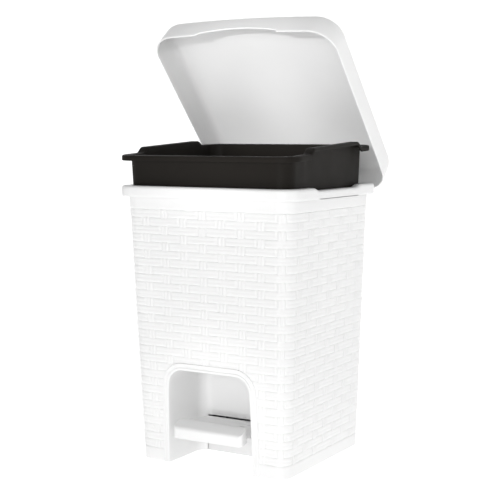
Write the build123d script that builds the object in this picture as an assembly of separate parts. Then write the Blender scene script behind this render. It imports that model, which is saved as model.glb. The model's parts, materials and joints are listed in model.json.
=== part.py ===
from build123d import *
import os
from math import asin, atan, cos, degrees, radians, sin

# Pedal bin with a rattan-look body, a hinged lid and a lift-out bucket.
# Millimetres. Origin: centre of the footprint on the floor. Front faces -Y, +Z is up.
# The model rests with the pedal pressed: lid open, bucket drawn up.

# ---- driving dimensions -------------------------------------------------------------
# tapered body: (half width, front y, back y, corner radius) at the floor and per mm of height
FLOOR_SECTION = (95.3, -92.8, 92.8, 14.0)
TAPER = (0.03828, -0.04621, 0.01069, 0.0152)
BODY_WALL = 2.2
BODY_TOP = 316.0
COLLAR_BOTTOM = 290.0
COLLAR_STEP = 0.8
RIM_SECTION = (114.7, -113.9, 103.6, 22.0)
RIM_BOTTOM = 303.5
RIM_SKIN = 2.0
RIM_EDGE_RADIUS = 3.5
RIM_DIP = 3.0
RIM_DIP_Y = (-57.0, 47.0)
RIM_DIP_RAMP = 6.0
HEEL_WINDOW = (27.0, 293.0, 323.0)

# foot recess in the front of the body, with a raised border round it
RECESS_HALF_WIDTH = (55.0, 52.5)
RECESS_HEIGHT = 109.5
RECESS_CORNER = 18.0
RECESS_BACK_Y = -25.5
BORDER_WIDTH = 8.5
BORDER_STEP = 1.2
LEVER_SLOT_HALF_WIDTH = 46.5
LEVER_SLOT_TOP = 43.3

# lid, built closed and then turned open about its hinge
LID_HALF_WIDTH = 118.4
LID_FRONT_Y = -117.3
LID_BACK_Y = 120.9
LID_CORNER = 28.0
LID_FRONT_BOW = 4.0
LID_EDGE_Z = 313.0
LID_HEIGHT = 36.0
LID_WALL = 2.0
LID_DRAFT = 2.3
LID_ROUND = 10.0
NOTCH_HALF_WIDTH = 52.0
NOTCH_END_DEPTH = 2.4
NOTCH_DEPTH = 7.5
HINGE_Y = 114.4
HINGE_Z = 309.1
OPEN_ANGLE = 47.79
HINGE_X = 62.0
HINGE_PIN_RADIUS = 2.0
KNUCKLE_RADIUS = 3.8
KNUCKLE_HALF_WIDTH = 5.6
EAR_WIDTH = 4.0

# inner bucket, drawn up by BUCKET_LIFT; its flange slopes up towards the back
BUCKET_LIFT = 27.2
BUCKET_GAP = 0.6
BUCKET_WALL = 2.0
BUCKET_FLOOR_Z = 150.0
BUCKET_BACK_Y = (76.5, 80.3)
FLANGE_HALF_WIDTH = 114.0
FLANGE_FRONT_Y = -113.5
FLANGE_BACK_Y = 89.5
FLANGE_CORNER = 21.0
FLANGE_LIP = 6.0
FLANGE_SKIN = 2.0
FLANGE_FRONT_Z = 343.6
FLANGE_SLOPE = 0.057
GRIP_RISE = 6.2
GRIP_LIP = 3.8
GRIP_FOOT_Y = (-72.0, 55.0)
GRIP_TOP_Y = (-62.0, 43.0)

# pedal lever, its axle, and the rod that lifts the lid
AXLE_Y = -16.0
AXLE_Z = 30.0
AXLE_RADIUS = 3.0
AXLE_HALF_LENGTH = 53.0
HUB_RADIUS = 5.4
HUB_HALF_WIDTH = 44.0
TREAD_HALF_WIDTH = 44.6
TREAD_FRONT_Y = -102.6
TREAD_SHOULDER_Y = -87.0
TREAD_CORNER = 5.0
SHOULDER_CORNER = 6.0
WAIST = (31.5, -83.0)
NECK = (40.4, -30.0)
# side outline of the tread: its lowest and highest z at the front, then (y, z) of the crest, of the
# top where it drops to the slot and after the drop, and of the skirt's lower edge behind the bar
TREAD_FOOT_Z = 32.3
TREAD_NOSE_Z = 44.5
TREAD_CREST = (-87.0, 51.7)
TREAD_BREAK = (-34.0, 43.7)
TREAD_DROP = (-29.0, 38.5)
SKIRT_ARCH = (-86.0, 35.5)
SKIRT_END = (-30.0, 29.5)
NOSE_ROUND = 5.0
CREST_ROUND = 18.0
TREAD_SKIN = 2.8
RIB_X = (-24.0, 0.0, 24.0)
ARM_HALF_DEPTH = 5.0
ROD_Y = 86.0
HEEL_RADIUS = 28.0
LINK_PIN_RADIUS = 1.75
ROD_SHANK = (10.0, 4.0)
ROD_EYE_HALF_WIDTH = 6.0
FORK_GAP = 7.2
FORK_CHEEK = 2.6
RUNNING_CLEARANCE = 0.06
LINK_CLEARANCE = 0.5
LINK_PIN_HALF_LENGTH = 11.0
BUFFER_Y = 66.0
BUFFER_RADIUS = 9.0
BUFFER_HEIGHT = 11.0

# base plate, its screw posts, and the cradles and clips of the axle
BASE_THICKNESS = 3.0
FIT_GAP = 0.3
SCREW_PLACES = [(82.0, 76.0), (-82.0, 76.0), (78.0, -74.0), (-78.0, -74.0)]
SCREW_RADIUS = 1.6
SCREW_LENGTH = 14.0
SCREW_HEAD_RADIUS = 3.6
COUNTERBORE_RADIUS = 4.0
POST_RADIUS = 4.2
POST_HEIGHT = 22.0
RIB_LENGTH = 18.0
SILL_TOP = 28.4
SILL_THICKNESS = 3.0
CRADLE_X = 49.0
CRADLE_HALF_WIDTH = 2.0
CRADLE_RADIUS = 5.5
CLIP_X = 51.9
CLIP_HALF_WIDTH = 0.5
CLIP_RADIUS = 5.0

# bracket that guides the rod, on the back wall
GUIDE_Z = 176.0
GUIDE_HALF_HEIGHT = 6.0
GUIDE_HALF_WIDTH = 18.0
GUIDE_BACK_Y = (89.4, 92.2)
GUIDE_FRONT_Y = (82.0, 83.6)
GUIDE_CHEEK = 2.2
GUIDE_SCREW_X = 13.5
GUIDE_SCREW_RADIUS = 1.2

# worked out from the above
HALF_SWING = radians(OPEN_ANGLE / 2)
ROD_TRAVEL = 2 * HEEL_RADIUS * sin(HALF_SWING)
LEVER_REACH = ((ROD_Y - AXLE_Y) ** 2 + (ROD_TRAVEL / 2) ** 2) ** 0.5
PEDAL_SWING = 2 * asin(ROD_TRAVEL / 2 / LEVER_REACH)
LOWER_PIN_Z = AXLE_Z + ROD_TRAVEL / 2
UPPER_PIN_Z = HINGE_Z + ROD_TRAVEL / 2
HEEL_END_Y = HINGE_Y - HEEL_RADIUS * cos(HALF_SWING)
HEEL_MID_Y = HINGE_Y - HEEL_RADIUS
LOWER_PIN_Y = ROD_Y - 0.33
HINGE_AXIS = Axis((0, HINGE_Y, HINGE_Z), (-1, 0, 0))


def section(z, offset=0.0):
    """Half width, front, back and corner radius of the body at height z, grown by offset."""
    half, front, back, radius = (start + slope * z for start, slope in zip(FLOOR_SECTION, TAPER))
    return half + offset, front - offset, back + offset, radius + offset


def loop(size, z):
    """Rounded rectangle (half width, front, back, corner radius) on the plane at height z."""
    half, front, back, radius = size
    return Pos(0, (front + back) / 2, z) * RectangleRounded(2 * half, back - front, radius)


def tapered(z_low, z_high, offset=0.0):
    """Solid between two heights that follows the taper of the body."""
    return loft([loop(section(z_low, offset), z_low), loop(section(z_high, offset), z_high)], ruled=True)


def prism(size, z_low, z_high):
    return extrude(loop(size, z_low), z_high - z_low)


def side_plate(points, x_low, x_high):
    """Extrude a (y, z) outline from x_low to x_high."""
    face = make_face(Polyline(*[(0, y, z) for y, z in points], close=True))
    return Pos(x_low, 0, 0) * extrude(face, amount=x_high - x_low, dir=(1, 0, 0))


def cross_pin(x_low, x_high, y, z, radius):
    """Cylinder along X."""
    return Pos((x_low + x_high) / 2, y, z) * Rot(0, 90, 0) * Cylinder(radius, x_high - x_low)


def cross_slot(half_x, y, z, radius, half_length):
    """Rounded bar along X, longer in Y than in Z, that cuts or fills a slotted eye."""
    width = 2 * half_length
    bar = Pos(0, y, z) * Box(2 * half_x, width, 2 * radius)
    for end in (-half_length, half_length):
        bar += cross_pin(-half_x, half_x, y + end, z, radius)
    return bar


def arch(grow, y_low, y_high):
    """Arched prism of the foot recess, grown by a border width, between two depths."""
    low, high = (half + grow for half in RECESS_HALF_WIDTH)
    top = RECESS_HEIGHT + grow
    outline = [(-low, 0, -1), (-high, 0, top), (high, 0, top), (low, 0, -1)]
    face = make_face(Polyline(*outline, close=True))
    upper = [v for v in face.vertices() if v.Z > 0]
    face = fillet(upper, RECESS_CORNER + grow)
    return Pos(0, y_low, 0) * extrude(face, amount=y_high - y_low, dir=(0, 1, 0))


def rim_dips(drop):
    """What the rim loses where it dips under the bucket's two finger grips."""
    front, back = RIM_DIP_Y
    top = BODY_TOP - drop
    ramp, above = RIM_DIP_RAMP, BODY_TOP + 5
    outline = [(front - ramp, top), (front + ramp, top - RIM_DIP), (back - ramp, top - RIM_DIP),
               (back + ramp, top), (back + ramp, above), (front - ramp, above)]
    return side_plate(outline, -140, -90) + side_plate(outline, 90, 140)


def rim():
    """Outward inverted U along the top of the body."""
    half, front, back, radius = RIM_SECTION
    ring = prism(RIM_SECTION, RIM_BOTTOM, BODY_TOP)
    top = ring.edges().filter_by_position(Axis.Z, BODY_TOP - 0.1, BODY_TOP + 0.1)
    ring = fillet(top, RIM_EDGE_RADIUS) - rim_dips(0)
    skin = (half - RIM_SKIN, front + RIM_SKIN, back - RIM_SKIN, radius - RIM_SKIN)
    channel = prism(skin, RIM_BOTTOM - 1, BODY_TOP - RIM_SKIN)
    channel -= tapered(RIM_BOTTOM - 2, BODY_TOP, COLLAR_STEP)
    return ring - (channel - rim_dips(RIM_SKIN))


def hinge_ears():
    """Two clevises behind the rim; each holds a hinge pin."""
    ears = []
    inner_x = KNUCKLE_HALF_WIDTH + 0.4
    outline = [(101.8, 302.0), (HINGE_Y, HINGE_Z - KNUCKLE_RADIUS), (HINGE_Y, HINGE_Z + KNUCKLE_RADIUS),
               (101.8, 314.5)]
    for centre in (-HINGE_X, HINGE_X):
        for low in (centre - inner_x - EAR_WIDTH, centre + inner_x):
            ear = side_plate(outline, low, low + EAR_WIDTH)
            ear += cross_pin(low, low + EAR_WIDTH, HINGE_Y, HINGE_Z, KNUCKLE_RADIUS)
            ears.append(ear)
    return ears


def base_bosses():
    """Screw posts for the base plate, tied to the side walls by ribs."""
    posts = []
    middle_z = BASE_THICKNESS + 0.1 + POST_HEIGHT / 2
    for x, y in SCREW_PLACES:
        side = 1 if x > 0 else -1
        post = Pos(x, y, middle_z) * Cylinder(POST_RADIUS, POST_HEIGHT)
        rib = Pos(x + side * RIB_LENGTH / 2, y, middle_z) * Box(RIB_LENGTH, 2, POST_HEIGHT)
        posts.append(post + rib)
    return posts


def outer_body():
    """One moulding: woven walls, collar, rim, foot recess and hinge ears."""
    solid = tapered(0, BODY_TOP) - rim_dips(0)
    core = tapered(-1, BODY_TOP + 1, -BODY_WALL)
    shell = solid - core
    shell += tapered(COLLAR_BOTTOM, RIM_BOTTOM + 1, COLLAR_STEP) - core
    shell += rim() - core
    shell += arch(BODY_WALL, -130, RECESS_BACK_Y + BODY_WALL) & solid
    shell += (arch(BORDER_WIDTH, -130, -80) & tapered(0, 140, BORDER_STEP)) - core
    for post in base_bosses():
        shell += post & solid
    for ear in hinge_ears():
        shell += ear
    shell -= arch(0, -131, RECESS_BACK_Y)
    slot_height = LEVER_SLOT_TOP + 1
    shell -= Pos(0, RECESS_BACK_Y, slot_height / 2 - 1) * Box(2 * LEVER_SLOT_HALF_WIDTH, 12, slot_height)
    window, low, high = HEEL_WINDOW
    shell -= Pos(0, 100, (low + high) / 2) * Box(window, 26, high - low)
    for x, y in SCREW_PLACES:
        shell -= Pos(x, y, 10) * Cylinder(SCREW_RADIUS + 0.05, 20)
    for centre in (-HINGE_X, HINGE_X):
        shell -= cross_pin(centre - 12, centre + 12, HINGE_Y, HINGE_Z, HINGE_PIN_RADIUS + 0.02)
    for x in (-GUIDE_SCREW_X, GUIDE_SCREW_X):
        shell -= Pos(x, 92.1, GUIDE_Z) * Rot(90, 0, 0) * Cylinder(GUIDE_SCREW_RADIUS + 0.05, 4.2)
    return shell


def base_plate():
    """Floor of the body behind and beside the foot recess, with the axle cradles and a sill that
    closes the recess's back wall below the lever."""
    plate = prism(section(0, -BODY_WALL - FIT_GAP), 0, BASE_THICKNESS)
    plate -= arch(BODY_WALL + FIT_GAP, -131, RECESS_BACK_Y + BODY_WALL + FIT_GAP)
    sill_y = RECESS_BACK_Y + 0.2 + SILL_THICKNESS / 2
    sill_width = 2 * (LEVER_SLOT_HALF_WIDTH - FIT_GAP)
    plate += Pos(0, sill_y, SILL_TOP / 2) * Box(sill_width, SILL_THICKNESS, SILL_TOP)
    radius = CRADLE_RADIUS
    cradle = [(AXLE_Y - radius, 1), (AXLE_Y - radius, AXLE_Z), (AXLE_Y + radius, AXLE_Z), (AXLE_Y + 9, 1)]
    for x in (-CRADLE_X, CRADLE_X):
        low, high = x - CRADLE_HALF_WIDTH, x + CRADLE_HALF_WIDTH
        plate += side_plate(cradle, low, high) + cross_pin(low, high, AXLE_Y, AXLE_Z, radius)
    plate -= cross_pin(-60, 60, AXLE_Y, AXLE_Z, AXLE_RADIUS + 0.03)
    for x, y in SCREW_PLACES:
        plate -= Pos(x, y, 1) * Cylinder(SCREW_RADIUS + 0.25, 10)
        plate -= Pos(x, y, 0) * Cylinder(COUNTERBORE_RADIUS, 4)
    return plate


def base_screws():
    """Four cross-head screws, their heads sunk in the base plate."""
    screws = []
    for x, y in SCREW_PLACES:
        head = Pos(x, y, 1.2) * Cylinder(SCREW_HEAD_RADIUS, 1.5)
        recess = Pos(x, y, 0.5) * Box(0.9, 4.4, 0.9) + Pos(x, y, 0.5) * Box(4.4, 0.9, 0.9)
        shank = Pos(x, y, 1.2 + SCREW_LENGTH / 2) * Cylinder(SCREW_RADIUS, SCREW_LENGTH)
        screws.append(head + shank - recess)
    return Compound(children=screws)


def pedal_axle():
    return cross_pin(-AXLE_HALF_LENGTH, AXLE_HALF_LENGTH, AXLE_Y, AXLE_Z, AXLE_RADIUS)


def axle_clips():
    """Push-on rings that keep the axle in its cradles."""
    rings = []
    for x in (-CLIP_X, CLIP_X):
        ring = cross_pin(x - CLIP_HALF_WIDTH, x + CLIP_HALF_WIDTH, AXLE_Y, AXLE_Z, CLIP_RADIUS)
        ring -= cross_pin(x - 1, x + 1, AXLE_Y, AXLE_Z, AXLE_RADIUS + 0.02)
        rings.append(ring)
    return Compound(children=rings)


def tread_plan(grow):
    """Outline of the lever from above: a wide front bar, a waist, and a neck that flares to the axle."""
    wide, front, shoulder = TREAD_HALF_WIDTH + grow, TREAD_FRONT_Y - grow, TREAD_SHOULDER_Y + grow
    (waist, waist_y), (neck, neck_y) = WAIST, NECK
    waist, neck = waist + grow, neck + grow
    half = [(wide, front), (wide, shoulder), (waist, waist_y + grow), (neck, neck_y), (neck, AXLE_Y)]
    face = make_face(Polyline(*half, *[(-x, y) for x, y in reversed(half)], close=True))
    face = fillet([v for v in face.vertices() if v.Y < front + 1], TREAD_CORNER + grow)
    outer = [v for v in face.vertices() if abs(v.Y - shoulder) < 0.01 and abs(v.X) > waist + 1]
    return fillet(outer, SHOULDER_CORNER + grow)


def tread_side(drop, x_low, x_high):
    """Side outline of the tread between two x places, its top lowered by drop."""
    crest_y, crest_z = TREAD_CREST
    top = [(TREAD_FRONT_Y, TREAD_NOSE_Z - drop), (crest_y, crest_z - drop)]
    top += [(y, z - drop) for y, z in (TREAD_BREAK, TREAD_DROP, (AXLE_Y, AXLE_Z + HUB_RADIUS))]
    points = [(TREAD_FRONT_Y, TREAD_FOOT_Z), *top, (AXLE_Y, AXLE_Z), SKIRT_END, SKIRT_ARCH]
    face = make_face(Polyline(*[(0, y, z) for y, z in points], close=True))
    nose = [v for v in face.vertices() if v.Y < TREAD_FRONT_Y + 0.1 and v.Z > TREAD_FOOT_Z + 1]
    face = fillet(nose, NOSE_ROUND - drop)
    crest = [v for v in face.vertices() if abs(v.Y - crest_y) < 0.1 and v.Z > crest_z - drop - 0.1]
    face = fillet(crest, CREST_ROUND - drop)
    return Pos(x_low, 0, 0) * extrude(face, amount=x_high - x_low, dir=(1, 0, 0))


def pedal_lever():
    """Moulded tread with a skirt, a hub on the axle and a rear arm ending in a fork."""
    floor_z, height, reach = 20.0, 40.0, 60.0
    lever = extrude(Pos(0, 0, floor_z) * tread_plan(0), height) & tread_side(0, -reach, reach)
    inner = Pos(0, 0, floor_z) * tread_plan(-TREAD_SKIN)
    hollow = (extrude(inner, height) & tread_side(TREAD_SKIN, -reach, reach)) + extrude(inner, 15)
    lever -= hollow - Pos(0, AXLE_Y, AXLE_Z) * Box(200, 28, 60)
    lever += cross_pin(-HUB_HALF_WIDTH, HUB_HALF_WIDTH, AXLE_Y, AXLE_Z, HUB_RADIUS)
    for x in RIB_X:
        lever += tread_side(1.0, x - 1, x + 1) & extrude(Pos(0, 0, floor_z) * tread_plan(-1), height)
    lift = ROD_TRAVEL / 2
    eye = ARM_HALF_DEPTH - 0.8
    cheek = [(AXLE_Y, AXLE_Z - ARM_HALF_DEPTH), (ROD_Y, AXLE_Z + lift - eye), (ROD_Y, AXLE_Z + lift + eye),
             (AXLE_Y, AXLE_Z + ARM_HALF_DEPTH)]
    for low in (-FORK_GAP - FORK_CHEEK, FORK_GAP):
        lever += side_plate(cheek, low, low + FORK_CHEEK)
        lever += cross_pin(low, low + FORK_CHEEK, LOWER_PIN_Y, LOWER_PIN_Z, eye)
    web = [(AXLE_Y, AXLE_Z - 1.2), (ROD_Y - 10, AXLE_Z + lift * 0.9 - 1.2),
           (ROD_Y - 10, AXLE_Z + lift * 0.9 + 1.2), (AXLE_Y, AXLE_Z + 1.2)]
    lever += side_plate(web, -FORK_GAP - 1, FORK_GAP + 1)
    lever -= cross_pin(-reach, reach, AXLE_Y, AXLE_Z, AXLE_RADIUS + RUNNING_CLEARANCE)
    lever -= cross_pin(-12, 12, LOWER_PIN_Y, LOWER_PIN_Z, LINK_PIN_RADIUS + 0.02)
    return lever


def lower_link_pin():
    return cross_pin(-LINK_PIN_HALF_LENGTH, LINK_PIN_HALF_LENGTH, LOWER_PIN_Y, LOWER_PIN_Z, LINK_PIN_RADIUS)


def lift_rod():
    """Flat rod with a slotted eye at each end; the slots take up the arcs of the two pins."""
    width, depth = ROD_SHANK
    slot_y = (HEEL_MID_Y + HEEL_END_Y) / 2
    top_play = (HEEL_END_Y - HEEL_MID_Y) / 2 + LINK_CLEARANCE
    rod = Pos(0, ROD_Y, (LOWER_PIN_Z + UPPER_PIN_Z) / 2) * Box(width, depth, UPPER_PIN_Z - LOWER_PIN_Z)
    rod += cross_slot(ROD_EYE_HALF_WIDTH, ROD_Y, LOWER_PIN_Z, 3.9, 0.3)
    rod += cross_slot(ROD_EYE_HALF_WIDTH, slot_y, UPPER_PIN_Z, 3.9, top_play)
    rod -= cross_slot(12, ROD_Y, LOWER_PIN_Z, LINK_PIN_RADIUS + LINK_CLEARANCE, 0.4)
    rod -= cross_slot(12, slot_y, UPPER_PIN_Z, LINK_PIN_RADIUS + LINK_CLEARANCE, top_play)
    return rod


def upper_link_pin():
    return cross_pin(-LINK_PIN_HALF_LENGTH, LINK_PIN_HALF_LENGTH, HEEL_END_Y, UPPER_PIN_Z, LINK_PIN_RADIUS)


def rod_guide():
    """Bracket on the back wall that the rod slides through."""
    low, high = GUIDE_Z - GUIDE_HALF_HEIGHT, GUIDE_Z + GUIDE_HALF_HEIGHT
    front, front_inner = GUIDE_FRONT_Y
    back_inner, back = GUIDE_BACK_Y
    half = ROD_SHANK[0] / 2 + FIT_GAP + 0.1
    outer = half + GUIDE_CHEEK

    def bar(y_low, y_high, x_low, x_high):
        return side_plate([(y_low, low), (y_high, low), (y_high, high), (y_low, high)], x_low, x_high)

    guide = bar(back_inner, back, -GUIDE_HALF_WIDTH, GUIDE_HALF_WIDTH)
    guide += bar(front, front_inner, -outer, outer)
    for x in (-outer, half):
        guide += bar(front + 0.4, back_inner + 0.6, x, x + GUIDE_CHEEK)
    for x in (-GUIDE_SCREW_X, GUIDE_SCREW_X):
        guide -= Pos(x, back_inner, GUIDE_Z) * Rot(90, 0, 0) * Cylinder(GUIDE_SCREW_RADIUS + 0.1, 8)
    return guide


def guide_screws():
    """Two cross-head screws that hold the bracket."""
    screws = []
    for x in (-GUIDE_SCREW_X, GUIDE_SCREW_X):
        shank = Pos(x, 91.7, GUIDE_Z) * Rot(90, 0, 0) * Cylinder(GUIDE_SCREW_RADIUS, 4.6)
        head = Pos(x, 88.6, GUIDE_Z) * Rot(90, 0, 0) * Cylinder(2.6, 1.6)
        recess = Pos(x, 87.9, GUIDE_Z) * Box(0.8, 1.0, 3.2) + Pos(x, 87.9, GUIDE_Z) * Box(3.2, 1.0, 0.8)
        screws.append(shank + head - recess)
    return Compound(children=screws)


def arm_buffer():
    """Soft stop that the lever's rear arm comes down on."""
    return Pos(0, BUFFER_Y, BASE_THICKNESS + 0.1 + BUFFER_HEIGHT / 2) * Cylinder(BUFFER_RADIUS, BUFFER_HEIGHT)


def hinge_pin(centre):
    return cross_pin(centre - 10.6, centre + 10.6, HINGE_Y, HINGE_Z, HINGE_PIN_RADIUS)


def lid_plan(inset):
    """Outline of the lid edge: rounded rectangle with a bowed front."""
    half = LID_HALF_WIDTH - inset
    front, back = LID_FRONT_Y + inset, LID_BACK_Y - inset
    bow = ThreePointArc((-half, front), (0, front - LID_FRONT_BOW), (half, front))
    sides = Polyline((half, front), (half, back), (-half, back), (-half, front))
    face = make_face(bow + sides)
    return fillet(face.vertices(), LID_CORNER - inset)


def lid_form(inset, round_radius):
    """Solid dome of the lid, inset by the wall for its hollow."""
    height = LID_HEIGHT - inset
    form = extrude(Pos(0, 0, LID_EDGE_Z) * lid_plan(inset), height, taper=LID_DRAFT)
    top = form.edges().filter_by_position(Axis.Z, LID_EDGE_Z + height - 0.1, LID_EDGE_Z + height + 0.1)
    return fillet(top, round_radius)


def finger_notch():
    """Arched cut in the lower edge of the lid's front skirt."""
    edge, end, deep = LID_EDGE_Z, LID_EDGE_Z + NOTCH_END_DEPTH, LID_EDGE_Z + NOTCH_DEPTH
    half = NOTCH_HALF_WIDTH
    arc = ThreePointArc((-half, 0, end), (0, 0, deep), (half, 0, end))
    sides = Polyline((half, 0, end), (half, 0, edge - 1), (-half, 0, edge - 1), (-half, 0, end))
    face = make_face(arc + sides)
    return Pos(0, LID_FRONT_Y - 10, 0) * extrude(face, amount=16, dir=(0, 1, 0))


def lid():
    """Shell with two hinge knuckles and the forked heel that the rod pushes up."""
    shell = lid_form(0, LID_ROUND) - lid_form(LID_WALL, LID_ROUND - LID_WALL)
    shell -= finger_notch()
    skirt_y = LID_BACK_Y - LID_WALL + 0.6
    knuckle = [(HINGE_Y - KNUCKLE_RADIUS, HINGE_Z), (HINGE_Y + KNUCKLE_RADIUS, HINGE_Z),
               (skirt_y, LID_EDGE_Z + 1),
               (skirt_y - 0.4, LID_EDGE_Z + 14), (HINGE_Y - KNUCKLE_RADIUS + 1, LID_EDGE_Z + 8)]
    for centre in (-HINGE_X, HINGE_X):
        low, high = centre - KNUCKLE_HALF_WIDTH, centre + KNUCKLE_HALF_WIDTH
        shell += side_plate(knuckle, low, high)
        shell += cross_pin(low, high, HINGE_Y, HINGE_Z, KNUCKLE_RADIUS)
        shell -= cross_pin(low - 1, high + 1, HINGE_Y, HINGE_Z, HINGE_PIN_RADIUS + RUNNING_CLEARANCE)
    heel_z = HINGE_Z - ROD_TRAVEL / 2
    cheek = [(skirt_y, LID_EDGE_Z + 0.4), (skirt_y - 0.6, LID_EDGE_Z + 20), (108, LID_EDGE_Z + 9),
             (97, HINGE_Z), (HEEL_END_Y - 3.4, heel_z + 2.0), (HEEL_END_Y + 2.0, heel_z - 3.4),
             (103, 300.5), (HINGE_Y, 305.5)]
    for low in (-FORK_GAP - FORK_CHEEK, FORK_GAP):
        shell += side_plate(cheek, low, low + FORK_CHEEK)
        shell += cross_pin(low, low + FORK_CHEEK, HEEL_END_Y, heel_z, 4.0)
    shell -= cross_pin(-12, 12, HEEL_END_Y, heel_z, LINK_PIN_RADIUS + 0.02)
    return shell.rotate(HINGE_AXIS, OPEN_ANGLE)


def bucket_section(z, offset=0.0):
    """Bucket wall at height z: the body's inner taper with a gap, and a straighter back."""
    half, front, _, radius = section(z - BUCKET_LIFT, -BODY_WALL - BUCKET_GAP + offset)
    back_low, back_high = BUCKET_BACK_Y
    share = (z - BUCKET_FLOOR_Z) / (FLANGE_FRONT_Z - BUCKET_FLOOR_Z)
    back = back_low + (back_high - back_low) * share + offset
    return half, front, back, radius


def bucket_form(z_low, z_high, offset=0.0):
    low, high = loop(bucket_section(z_low, offset), z_low), loop(bucket_section(z_high, offset), z_high)
    return loft([low, high], ruled=True)


def flange_z(y, above=0.0):
    """Height of the flange's lower edge at depth y."""
    return FLANGE_FRONT_Z + FLANGE_SLOPE * (y - FLANGE_FRONT_Y) + above


def below_flange(above):
    """Everything under a plane parallel to the flange."""
    front, back = -200.0, 200.0
    outline = [(front, 0), (back, 0), (back, flange_z(back, above)), (front, flange_z(front, above))]
    return side_plate(outline, -200, 200)


def slab(size, low, high):
    """Rounded plate between two planes parallel to the flange."""
    column = prism(size, FLANGE_FRONT_Z - 40, FLANGE_FRONT_Z + 60)
    return (column & below_flange(high)) - below_flange(low)


def grip_line(above, rise=GRIP_RISE):
    """(y, z) points of a line that climbs over the grip, a distance above the flange's lower edge."""
    foot_front, foot_back = GRIP_FOOT_Y
    top_front, top_back = GRIP_TOP_Y
    path = [(foot_front, 0), (top_front, rise), (top_back, rise), (foot_back, 0)]
    return [(y, flange_z(y, climb + above)) for y, climb in path]


def inner_bucket():
    """Tapered bucket with a lipped flange that rises into a finger grip on each side."""
    flange = (FLANGE_HALF_WIDTH, FLANGE_FRONT_Y, FLANGE_BACK_Y, FLANGE_CORNER)
    inside_lip = (FLANGE_HALF_WIDTH - FLANGE_SKIN, FLANGE_FRONT_Y + FLANGE_SKIN,
                  FLANGE_BACK_Y - FLANGE_SKIN, FLANGE_CORNER - FLANGE_SKIN)
    high = FLANGE_FRONT_Z + 40
    walls = bucket_form(BUCKET_FLOOR_Z, high)
    bucket = walls & below_flange(FLANGE_LIP)
    rim_ring = slab(flange, 0, FLANGE_LIP) - slab(inside_lip, -1, FLANGE_LIP - FLANGE_SKIN)
    foot_front, foot_back = GRIP_FOOT_Y
    middle, length = (foot_front + foot_back) / 2, foot_back - foot_front
    wall_x = bucket_section(FLANGE_FRONT_Z)[0]
    for side in (-1, 1):
        rim_ring -= Pos(side * (wall_x + 8), middle, FLANGE_FRONT_Z + 5) * Box(16, length, 60)
    bucket += rim_ring
    inner_x = wall_x - BUCKET_WALL + 0.6
    crest = grip_line(FLANGE_LIP)[::-1]
    plate = (inner_x, FLANGE_HALF_WIDTH, grip_line(FLANGE_LIP - FLANGE_SKIN))
    lip = (FLANGE_HALF_WIDTH - FLANGE_SKIN, FLANGE_HALF_WIDTH, grip_line(FLANGE_LIP - GRIP_LIP))
    wall = (inner_x, wall_x + 0.3, grip_line(0.3, rise=0))
    for near, far, lower in (plate, lip, wall):
        strip = side_plate(lower + crest, near, far)
        bucket += strip + mirror(strip, Plane.YZ)
    bucket -= bucket_form(BUCKET_FLOOR_Z + 2.5, high, -BUCKET_WALL)
    return bucket


def write(name, shape):
    shape.label = name
    export_step(shape, f"parts/{name}.step")


os.makedirs("parts", exist_ok=True)
write("outer_body", outer_body())
write("base_plate", base_plate())
write("base_screws", base_screws())
write("pedal_axle", pedal_axle())
write("axle_clips", axle_clips())
write("arm_buffer", arm_buffer())
write("rod_guide", rod_guide())
write("guide_screws", guide_screws())
write("hinge_pin_left", hinge_pin(-HINGE_X))
write("hinge_pin_right", hinge_pin(HINGE_X))
write("pedal_lever", pedal_lever())
write("lower_link_pin", lower_link_pin())
write("lift_rod", lift_rod())
write("upper_link_pin", upper_link_pin())
write("lid", lid())
write("inner_bucket", inner_bucket())
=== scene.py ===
import json
from math import atan2, cos, pi, radians, sin

import bmesh
import bpy
import numpy as np
from mathutils import Matrix, Vector


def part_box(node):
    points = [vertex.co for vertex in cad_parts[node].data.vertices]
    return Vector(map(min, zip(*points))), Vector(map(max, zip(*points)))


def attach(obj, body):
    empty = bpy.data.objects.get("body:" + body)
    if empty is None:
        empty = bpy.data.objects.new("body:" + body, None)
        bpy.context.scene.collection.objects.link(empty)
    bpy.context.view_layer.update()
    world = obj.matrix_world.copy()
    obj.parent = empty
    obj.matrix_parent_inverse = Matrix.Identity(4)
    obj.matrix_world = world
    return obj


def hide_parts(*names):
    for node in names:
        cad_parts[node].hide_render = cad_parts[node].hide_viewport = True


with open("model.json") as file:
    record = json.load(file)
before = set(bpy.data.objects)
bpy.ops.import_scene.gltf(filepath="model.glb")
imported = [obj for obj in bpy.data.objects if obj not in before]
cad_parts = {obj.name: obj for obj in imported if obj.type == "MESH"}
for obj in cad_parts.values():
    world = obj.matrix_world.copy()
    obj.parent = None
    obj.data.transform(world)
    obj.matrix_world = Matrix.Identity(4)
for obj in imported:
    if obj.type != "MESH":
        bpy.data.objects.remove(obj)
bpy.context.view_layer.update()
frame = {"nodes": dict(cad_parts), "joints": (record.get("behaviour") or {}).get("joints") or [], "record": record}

# Pedal bin with a rattan-look body. All sizes below are in millimetres; MM turns them into metres.
MM = 0.001
RNG = np.random.default_rng(7)


def cad(node, corner, axis):
    """One coordinate of a CAD node's box, in millimetres: corner 0 is low, 1 is high."""
    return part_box(node)[corner]["xyz".index(axis)] / MM


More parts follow.
